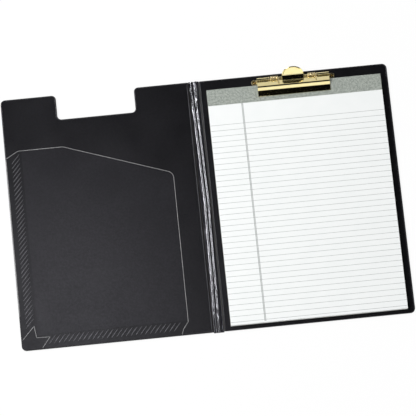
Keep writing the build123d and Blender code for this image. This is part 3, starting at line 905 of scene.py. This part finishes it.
def gather_level(x, y):
    """Top of the gathered vinyl."""
    reach = abs(x)
    down = TOP_EDGE - y
    wall = ease(6.25, 7.5, reach)
    level = SPINE_FLOOR + (PANEL_TOP + 0.12 - SPINE_FLOOR) * wall
    if reach > LAP - 0.4:
        level -= 0.2 * ease(LAP - 0.4, LAP, reach)
    drift = wander(y)
    parted = RIDGE_PARTING * (1 - ease(5, 42, down))
    ridges = 0.0
    for (place, height, width), aside in ((LEFT_RIDGE, -parted), (RIGHT_RIDGE, parted)):
        ridges += height * exp(-(((x - drift - place - aside) / width) ** 2))
    crumple = 0.12 + (0.55 * ease(70, 20, down) if down < 70 else 0.0)
    folds = noise.noise(Vector((x * 0.55, y * 0.13, 0.3))) * crumple
    folds += 0.5 * noise.noise(Vector((x * 1.1, y * 0.33, 5.3))) * crumple
    slack = (1 - wall) * (1 - ease(5.0, 6.3, reach) * 0.7)
    return level + (ridges + folds) * slack


def gather_half(name, side):
    across, along = 34, 360
    points = []
    for row in range(along + 1):
        share = row / along
        for column in range(across + 1):
            x = side * LAP * column / across
            tuck = 0.9 * noise.noise(Vector((x * 0.4, 2.0, 9.0))) * (1 - ease(6.0, 7.0, abs(x)))
            overhang = GATHER_OVERHANG * (1 - ease(5.8, 6.6, abs(x)))
            low = BOTTOM_EDGE + 0.2 - overhang - max(0.0, tuck)
            high = TOP_EDGE - 0.2 + overhang + max(0.0, -tuck)
            y = low + (high - low) * share
            points.append((x, y, gather_level(x, y)))
    made = piece_from(name, points, grid_faces(along, across, side < 0), spine_vinyl)
    made = thicken(made, GATHER_SHEET, name, spine_vinyl)
    smooth_below(made, 55)
    return made


gather_back = gather_half("spine_gather_back", 1)
gather_front = gather_half("spine_gather_front", -1)
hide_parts("spine_liner")
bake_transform(gather_back)
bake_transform(gather_front)


# Outer vinyl carried across the creases
STRIP_INNER = 5.6
STRIP_OUTER = 8.0
STRIP_THICKNESS = 0.42


def crease_strip(name, side):
    across, along = 12, 40
    points = []
    for row in range(along + 1):
        y = BOTTOM_EDGE + 0.3 + (2 * TOP_EDGE - 0.6) * row / along
        for column in range(across + 1):
            x = STRIP_INNER + (STRIP_OUTER - STRIP_INNER) * column / across
            groove = 0.12 * exp(-(((x - CREASE) / 0.35) ** 2))
            points.append((side * x, y, -0.03 + groove))
    made = piece_from(name, points, grid_faces(along, across, side > 0), cover_vinyl)
    made = thicken(made, STRIP_THICKNESS, name, cover_vinyl)
    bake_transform(made)


crease_strip("front_crease_strip", -1)
crease_strip("back_crease_strip", 1)

# Writing pad
page_middle = ((PAD_LEFT + PAD_RIGHT) / 2, (PAD_TOP_EDGE + PAD_BOTTOM) / 2, STACK_LEVEL + 0.05)
page_values = {
    "Middle": tuple(place * MM for place in page_middle),
    "Width": (PAD_RIGHT - PAD_LEFT - 0.2) * MM,
    "Length": (PAD_TOP_EDGE - PAD_BOTTOM - 0.2) * MM,
}
pages = grown("page_pile", make_page_tree(), page_values, plain_paper)
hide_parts("pad_sheets")
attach(pages, "writing_pad")


CORNER_LIFT = 0.35
LEAF = 0.095


def page_level(x, y):
    """Top of the uppermost sheet, which lifts a little at its free corners."""
    low = ease(-60, -154, y)
    lift = CORNER_LIFT * low * (ease(150, 231, x) + 0.6 * ease(90, 15, x))
    return SHEET_TOP + lift


page_outline = [(PAD_LEFT, PAD_BOTTOM), (PAD_RIGHT, PAD_BOTTOM)]
page_outline += [(PAD_RIGHT, PAD_TOP_EDGE), (PAD_LEFT, PAD_TOP_EDGE)]
top_page = gridded_face("ruled_page", page_outline, 8.0, page_level, ruled_paper)
top_page = thicken(top_page, LEAF, "ruled_page", ruled_paper)
smooth_below(top_page, 40)
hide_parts("pad_top_sheet")
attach(top_page, "writing_pad")


TAPE_FOLD = 0.6
CLOTH_THICKNESS = 0.22


def tape_section():
    """Middle line of the cloth tape in side view, from its edge on the page to its edge on the board."""
    top, under = SHEET_TOP + TAPE, TAPE_LEVEL
    edge, front = PAD_TOP_EDGE + TAPE, PAD_TOP_EDGE - TAPE_FRONT
    centre = edge - TAPE_FOLD
    turns = [radians(turn) for turn in range(0, 91, 15)]
    run = [(front, top - 0.04), (front + 0.8, top)]
    run += [(front + step * 3.0, top) for step in range(1, 7)]
    run += [(centre + TAPE_FOLD * sin(turn), top - TAPE_FOLD + TAPE_FOLD * cos(turn)) for turn in turns]
    run += [(edge, 7.4), (edge, 5.6)]
    run += [(centre + TAPE_FOLD * cos(turn), under + TAPE_FOLD - TAPE_FOLD * sin(turn)) for turn in turns]
    run += [(PAD_TOP_EDGE - TAPE_BACK * step / 6, under) for step in range(1, 7)]
    return run


def binding_tape():
    """Cloth tape folded over the pad's top edge, with slightly uneven cut edges."""
    run = tape_section()
    across = 90
    points = []
    for column in range(across + 1):
        x = PAD_LEFT + (PAD_RIGHT - PAD_LEFT) * column / across
        for place, (y, z) in enumerate(run):
            fray = 0.12 * noise.noise(Vector((x * 0.35, 1.7, 0.0))) if place == 0 else 0.0
            wave = 0.02 * noise.noise(Vector((x * 0.12, y * 0.2, 8.0))) if z > 9 else 0.0
            points.append((x, y + fray, z + wave))
    made = piece_from("binding_tape", points, grid_faces(across, len(run) - 1), binding_cloth)
    recalculate(made)
    top_faces = [face for face in made.data.polygons if face.center.z > SHEET_LEVEL * MM]
    if sum(face.normal.z for face in top_faces) < 0:
        made.data.flip_normals()
    made = thicken(made, CLOTH_THICKNESS, "binding_tape", binding_cloth)
    smooth_below(made, 50)
    return made


tape = binding_tape()
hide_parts("pad_tape")
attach(tape, "writing_pad")
tape_run = tape_section()

# Torsion springs: a straight leg on the base, the coil round the pin, and a leg under the jaw
WIRE = 1.1
WIRE_SIDES = 12
COIL_RADIUS = 2.2
COIL_TURNS = 5
STEPS_PER_TURN = 28
LEG_STEPS = 6
BASE_FOOT = (TOP_EDGE - 12.4, 4.75)
JAW_FOOT = (TOP_EDGE - 14.6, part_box("spring_left")[1].z / MM - WIRE / 2)


def leg_to(foot):
    """Direction of a foot from the pin, and length of the straight leg that ends in it."""
    y, z = foot[0] - PIN_Y, foot[1] - PIN_LEVEL
    return atan2(z, y), sqrt(y**2 + z**2 - COIL_RADIUS**2)


def spring_wire(name, node_name):
    low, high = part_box(node_name)
    left, right = low.x / MM + WIRE / 2, high.x / MM - WIRE / 2
    base_angle, base_leg = leg_to(BASE_FOOT)
    jaw_angle, jaw_leg = leg_to(JAW_FOOT)
    start = base_angle + atan2(base_leg, COIL_RADIUS)
    end = jaw_angle - atan2(jaw_leg, COIL_RADIUS)
    sweep = end - start + 2 * pi * COIL_TURNS
    coil = COIL_RADIUS * sweep
    rate = (right - left) / (base_leg + coil + jaw_leg)
    points = []

    def add(run, angle, off):
        """A point a run along the wire, at an angle round the pin and off the coil along its tangent."""
        y = PIN_Y + COIL_RADIUS * cos(angle) - off * sin(angle)
        z = PIN_LEVEL + COIL_RADIUS * sin(angle) + off * cos(angle)
        points.append((left + rate * run, y, z))

    for step in range(LEG_STEPS + 1):
        run = base_leg * step / LEG_STEPS
        add(run, start, run - base_leg)
    coil_steps = ceil(sweep / (2 * pi) * STEPS_PER_TURN)
    for step in range(1, coil_steps + 1):
        add(base_leg + coil * step / coil_steps, start + sweep * step / coil_steps, 0.0)
    for step in range(1, LEG_STEPS + 1):
        run = jaw_leg * step / LEG_STEPS
        add(base_leg + coil + run, start + sweep, run)
    made = wire_tube(name, points)
    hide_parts(node_name)
    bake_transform(made)


def wire_tube(name, route):
    """Round wire along a winding route, with rings that don't twist."""
    spots = [Vector(point) for point in route]
    side = (spots[1] - spots[0]).normalized().orthogonal()
    frames = []
    for before, after in zip(spots[:1] + spots[:-1], spots[1:] + spots[-1:]):
        along = (after - before).normalized()
        side = (side - along * side.dot(along)).normalized()
        frames.append((side, along.cross(side)))
    made = tube(name, spots, frames, (WIRE / 2, WIRE / 2), WIRE_SIDES, spring_brass)
    smooth_below(made, 60)
    return made


spring_wire("spring_wire_left", "spring_left")
spring_wire("spring_wire_right", "spring_right")

# Jaw: one pressed sheet with rolled knuckles, an arched plate, a flat lip and a turned-up thumb tab
JAW_LEFT = 78.1
JAW_RIGHT = 167.6
KNUCKLE_LENGTH = 14.2
CLIP_MIDDLE = 122.85
SHEET_BRASS = 0.8
LIP_LEVEL = 10.5
LIP_FRONT = 29.2
SLOPE_FOOT = 21.9
CREST = 17.8
CREST_LEVEL = 14.3
NECK_LEVEL = 12.0
PIN_BORE = 1.05
PLATE_SLOPE = atan2(CREST_LEVEL - PIN_LEVEL, 10.8) + 0.0871
HOLD = 0.2
ROLL_TURN = 300
TAB_ANGLE = radians(47)
TAB_RADIUS = 13.3
TAB_SHANK = 0.8


def plate_spot(down):
    """Point on top of the jaw's plate, in side view."""
    start_down = TOP_EDGE - PIN_Y + PIN_BORE * sin(PLATE_SLOPE)
    start_level = PIN_LEVEL - PIN_BORE * cos(PLATE_SLOPE)
    return (TOP_EDGE - down, start_level + (down - start_down) * tan(PLATE_SLOPE))


def beside(run, distance):
    """A side-view run moved to its right by a distance."""
    out = []
    for place, (y, z) in enumerate(run):
        before, after = run[max(place - 1, 0)], run[min(place + 1, len(run) - 1)]
        along = Vector((after[0] - before[0], after[1] - before[1])).normalized()
        out.append((y + along.y * distance, z - along.x * distance))
    return out


def pressed_sheet(name, run, left, right, thickness, bevel=0.1):
    """A sheet that follows a side-view run between two places along X, with softened edges."""
    held = [run[0]]
    for start, end in zip(run, run[1:]):
        reach = Vector((end[0] - start[0], end[1] - start[1]))
        if reach.length > 0.7:
            # points close to each end keep the flats flat beside a bend
            hold = reach.normalized() * HOLD
            held += [(start[0] + hold.x, start[1] + hold.y), (end[0] - hold.x, end[1] - hold.y)]
        held.append(end)
    run = held
    under = beside(run, thickness)
    loop = run + under[::-1]
    count, half = len(loop), len(run)
    points = [(x, y, z) for x in (left, right) for y, z in loop]
    faces = [(n, (n + 1) % count, count + (n + 1) % count, count + n) for n in range(count)]
    for start in (0, count):
        for n in range(half - 1):
            faces.append((start + n, start + n + 1, start + count - 2 - n, start + count - 1 - n))
    made = piece_from(name, points, faces, clip_brass, smooth=False)
    recalculate(made)
    soften = made.modifiers.new("soft edges", "BEVEL")
    soften.width = bevel * MM
    soften.segments = 2
    soften.limit_method = "ANGLE"
    soften.angle_limit = radians(50)
    return as_plain_mesh(made, name, clip_brass)


def joined(name, parts):
    """Several shells kept as one piece."""
    work = bmesh.new()
    for part in parts:
        work.from_mesh(part.data)
        bpy.data.objects.remove(part)
    return piece_from_work(name, work, clip_brass)


plate_corners = [
    (TOP_EDGE - LIP_FRONT, LIP_LEVEL),
    (TOP_EDGE - SLOPE_FOOT, LIP_LEVEL),
    (TOP_EDGE - CREST, CREST_LEVEL),
    plate_spot(10.4),
]
plate_run = rounded(plate_corners, [0, 1.2, 2.1, 0], closed=False)
jaw_parts = [pressed_sheet("jaw_plate", plate_run, JAW_LEFT, JAW_RIGHT, SHEET_BRASS)]

roll_run = [plate_spot(11.2), plate_spot(9.4)]
for turn in range(0, ROLL_TURN + 1, 12):
    angle = PLATE_SLOPE - pi / 2 + radians(turn)
    roll_run.append((PIN_Y + PIN_BORE * cos(angle), PIN_LEVEL + PIN_BORE * sin(angle)))
for left, right in ((JAW_LEFT, JAW_LEFT + KNUCKLE_LENGTH), (JAW_RIGHT - KNUCKLE_LENGTH, JAW_RIGHT)):
    jaw_parts.append(pressed_sheet("jaw_knuckle", roll_run, left, right, SHEET_BRASS - 0.03, 0.06))

# The tab passes over the pin and turns up to a round dished end with a rolled rim
TAB_LEFT, TAB_RIGHT = CLIP_MIDDLE - TAB_RADIUS, CLIP_MIDDLE + TAB_RADIUS
neck_back = (TOP_EDGE - 5.6, NECK_LEVEL)
tab_rise = (cos(TAB_ANGLE), sin(TAB_ANGLE))
shank_end = (neck_back[0] + TAB_SHANK * tab_rise[0], neck_back[1] + TAB_SHANK * tab_rise[1])
neck_corners = [plate_spot(13.2), plate_spot(12.3), (TOP_EDGE - 11.5, NECK_LEVEL), neck_back, shank_end]
neck_run = rounded(neck_corners, [0, 0.5, 0.5, 0.6, 0], closed=False)
neck_run = [(y, z + 0.02) for y, z in neck_run]
jaw_parts.append(pressed_sheet("jaw_neck", neck_run, TAB_LEFT, TAB_RIGHT, SHEET_BRASS - 0.05))


def tab_spot(across, up, out=0.0):
    """Point on the thumb tab: across and up its face, and out from it towards the pad."""
    return (
        CLIP_MIDDLE + across,
        shank_end[0] + up * tab_rise[0] - out * tab_rise[1],
        shank_end[1] + up * tab_rise[1] + out * tab_rise[0],
    )


# Thumb tab's round end: how far in from its edge each ring of the rolled rim lies, and how far out
DISC_RIM = [(0.0, -0.45), (0.9, 0.08), (1.2, 0.12), (1.5, 0.02), (1.9, -0.16)]
DISC_DISH = 0.06
DISC_BACK = -0.7
DISC_BACK_MIDDLE = -0.95
DISC_HUB = 0.02
DISC_SQUASH = 0.83


def thumb_disc():
    """Half-round end of the tab: dished face, rolled rim and plain back."""
    around, rings = 48, 10
    rim_end, rim_out = DISC_RIM[-1]
    profile = [(0.0, DISC_BACK)] + DISC_RIM
    for ring in range(1, rings + 1):
        inset = rim_end + (TAB_RADIUS - rim_end) * ring / rings
        profile.append((inset, rim_out - DISC_DISH * ease(rim_end, TAB_RADIUS, inset)))
    points = []
    for step in range(around + 1):
        angle = pi * step / around
        for inset, out in profile:
            radius = max(TAB_RADIUS - inset, DISC_HUB)
            points.append(tab_spot(radius * cos(angle), DISC_SQUASH * radius * sin(angle), out))
        points.append(tab_spot(DISC_HUB * cos(angle), DISC_HUB * sin(angle), DISC_BACK_MIDDLE))
    size = len(profile) + 1
    faces = ring_faces(around + 1, size)
    faces.append(tuple(range(size)))
    faces.append(tuple(reversed(range(around * size, (around + 1) * size))))
    made = piece_from("thumb_disc", points, faces, clip_brass)
    recalculate(made)
    return made


jaw_parts.append(thumb_disc())
jaw = joined("jaw_sheet", jaw_parts)
smooth_below(jaw, 20)
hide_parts("clip_jaw")
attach(jaw, "jaw")

# Clinched ends inside the tubular rivets: radius and level round the lip
CLINCH = [(1.09, 0.5), (1.09, 0.95), (0.8, 1.15), (0.4, 0.95), (0.05, 0.9), (0.05, 0.5)]
CLINCH_STEPS = 20
RIVET_REACH = 48.4
rivet_y = (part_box("clip_rivets")[0].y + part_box("clip_rivets")[1].y) / 2 / MM
for label, rivet_x in (("left", CLIP_MIDDLE - RIVET_REACH), ("right", CLIP_MIDDLE + RIVET_REACH)):
    points, faces = [], []
    size = len(CLINCH)
    for step in range(CLINCH_STEPS):
        angle = 2 * pi * step / CLINCH_STEPS
        for radius, level in CLINCH:
            points.append((rivet_x + radius * cos(angle), rivet_y + radius * sin(angle), level))
        here, there = step * size, (step + 1) % CLINCH_STEPS * size
        faces += [(here + n, there + n, there + (n + 1) % size, here + (n + 1) % size) for n in range(size)]
    clinch = piece_from("rivet_clinch_" + label, points, faces, rivet_brass)
    recalculate(clinch)
    smooth_below(clinch, 50)
    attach(clinch, "back_cover")

# Stage: pale floor, soft light and the camera
FLOOR_LEVEL_M = -0.0004
CAMERA_LIFT = 0.93
AMBIENT = 0.62
bpy.ops.mesh.primitive_plane_add(size=12.0, location=(0, 0, FLOOR_LEVEL_M))
floor = bpy.context.object
floor.name = "pale_floor"
floor_finish = bpy.data.materials.new("pale floor")
tree = emptied(floor_finish)
white = node(tree, "ShaderNodeBsdfDiffuse", {"Color": (0.92, 0.92, 0.92, 1)})
glow = node(tree, "ShaderNodeEmission", {"Color": (1, 1, 1, 1), "Strength": 1.0})
seen = node(tree, "ShaderNodeLightPath").outputs["Is Camera Ray"]
lift = times(seen, CAMERA_LIFT)
lit_floor = fed("ShaderNodeMixShader", {0: lift, 1: white.outputs[0], 2: glow.outputs[0]})
fed("ShaderNodeOutputMaterial", {0: lit_floor.outputs[0]})
floor.data.materials.append(floor_finish)

# The metal mirrors a bright horizon and a dark overhead, a little dimmer at the far side
world = bpy.data.worlds.new("soft studio")
bpy.context.scene.world = world
world.cycles.sampling_method = "NONE"
tree = emptied(world)
direction = axes(node(tree, "ShaderNodeTexCoord").outputs["Generated"])
overhead = ramp(direction["Z"], [(0.0, 1.15), (0.2, 1.05), (0.58, 0.95), (0.70, 0.06), (0.78, 0.0)])
mirrored = times(overhead, scaled(direction["Y"], -0.2, 0.88))
paths = node(tree, "ShaderNodeLightPath").outputs
ambient = mix_values(paths["Is Glossy Ray"], AMBIENT, mirrored)
shown = mix_values(paths["Is Camera Ray"], ambient, 1.0)
sky = fed("ShaderNodeBackground", {"Color": (1, 1, 1, 1), "Strength": shown})
fed("ShaderNodeOutputWorld", {0: sky.outputs[0]})


def soft_box(name, place, target, size, power, colour=(1, 1, 1)):
    """A rectangular area lamp aimed at a target, all in metres."""
    lamp = bpy.data.lights.new(name, "AREA")
    lamp.shape = "RECTANGLE"
    lamp.size, lamp.size_y = size
    lamp.energy = power
    lamp.color = colour
    made = stand(name, lamp)
    made.location = place
    made.rotation_euler = (Vector(target) - Vector(place)).to_track_quat("-Z", "Y").to_euler()
    return made


left_box = soft_box("left soft box", (-0.95, 0.15, 1.35), (-0.1, 0, 0), (0.6, 0.75), 18.0)
left_box.visible_glossy = False
card_tint, strip_tint = (0.93, 0.92, 1.0), (0.93, 0.94, 1.0)
sheen_card = soft_box(
    "low sheen card", (-0.20, -0.01, 0.62), (-0.17, -0.12, 0), (0.28, 0.34), 1.0, card_tint
)
left_strip = soft_box("low left strip", (-1.07, 0.42, 0.74), (0, 0.08, 0), (0.46, 0.36), 19.0, strip_tint)
for shine in (sheen_card, left_strip):
    shine.visible_diffuse = False

camera_data = bpy.data.cameras.new("camera")
camera_data.lens = 282.226
camera_data.sensor_width = 36.0
camera_data.clip_end = 50.0
camera = stand("camera", camera_data)
camera.location = (-0.08452, -0.99257, 3.87397)
camera.rotation_euler = (radians(14.3879), radians(0.188), radians(-5.7314))
bpy.context.scene.camera = camera

bpy.context.scene.view_settings.view_transform = "Standard"
